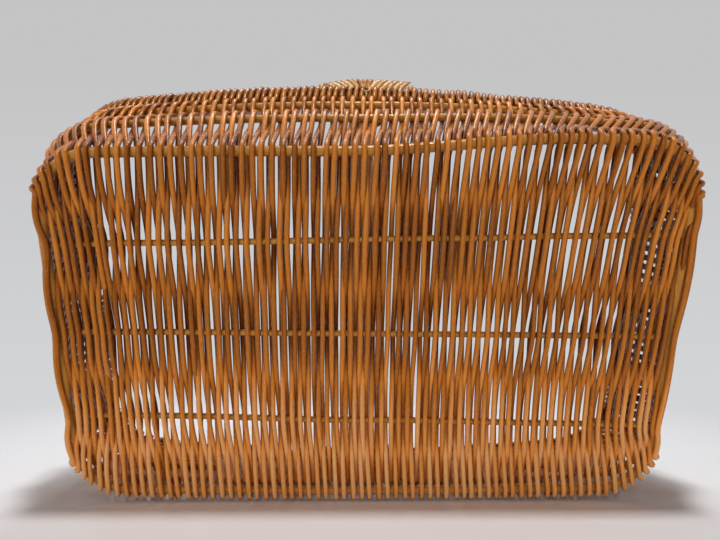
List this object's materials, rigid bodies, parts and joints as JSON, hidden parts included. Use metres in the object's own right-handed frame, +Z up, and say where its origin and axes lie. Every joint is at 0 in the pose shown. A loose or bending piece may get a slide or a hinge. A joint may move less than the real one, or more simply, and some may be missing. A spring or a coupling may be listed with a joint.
{
  "type": "gathering basket",
  "caption": "Shallow rounded-rectangle basket of varnished woven reed with a flared wall, a rolled border and a cane-wrapped bow handle, lying on one long side with its base to the front.",
  "frame": {"origin": "middle of the bottom of the box around the basket as it lies on one long side on the ground", "axes": "+Z up from the ground, +X along the length of the basket, -Y towards the front, where the base of the basket faces, +Y towards the mouth and the handle"},
  "size_m": [0.4662, 0.3362, 0.3392],
  "materials": {
    "reed": "glossy varnish",
    "rod": "glossy varnish",
    "cane": "satin",
    "nail": "dull"
  },
  "bodies": {
    "root": {"edge_hoop": "rod", "lower_hoop": "rod", "upper_hoop": "rod", "rim_border": "reed", "rib_lower": "rod", "rib_middle": "rod", "rib_upper": "rod", "base_weave": "reed", "lower_wall_weave": "reed", "upper_wall_weave": "reed", "left_end_weave": "reed", "right_end_weave": "reed", "corner_weave_lower_left": "reed", "corner_weave_lower_right": "reed", "corner_weave_upper_left": "reed", "corner_weave_upper_right": "reed", "handle_bow": "rod", "handle_wrap": "cane", "lower_lashing": "cane", "upper_lashing": "cane", "nails": "nail"}
  },
  "joints": []
}
